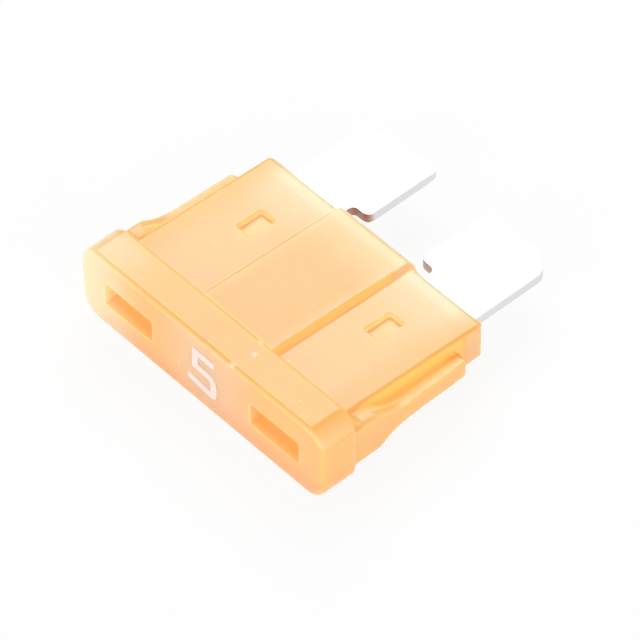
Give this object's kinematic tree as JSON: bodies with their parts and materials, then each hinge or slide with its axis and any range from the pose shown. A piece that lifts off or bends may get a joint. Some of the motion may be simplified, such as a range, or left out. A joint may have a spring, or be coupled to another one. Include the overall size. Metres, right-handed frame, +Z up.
{
  "type": "blade fuse",
  "caption": "Plug-in blade fuse: a translucent moulded housing with a cap bar, drafted body, side rails and probe windows on a stamped element with flat blades and a thin fusible link.",
  "frame": {"origin": "on the surface under the middle of the part, with the cap bar's underside on that surface", "axes": "+X across the blades, +Y along the blades from the cap bar to the tips, +Z up through the thickness"},
  "size_m": [0.019, 0.019, 0.0051],
  "materials": {
    "housing_plastic": "translucent pale orange, satin",
    "element_metal": "bright tin over stamped zinc",
    "rating_ink": "white stamped ink"
  },
  "bodies": {
    "root": {"housing": "housing_plastic", "fuse_element": "element_metal"}
  },
  "joints": []
}
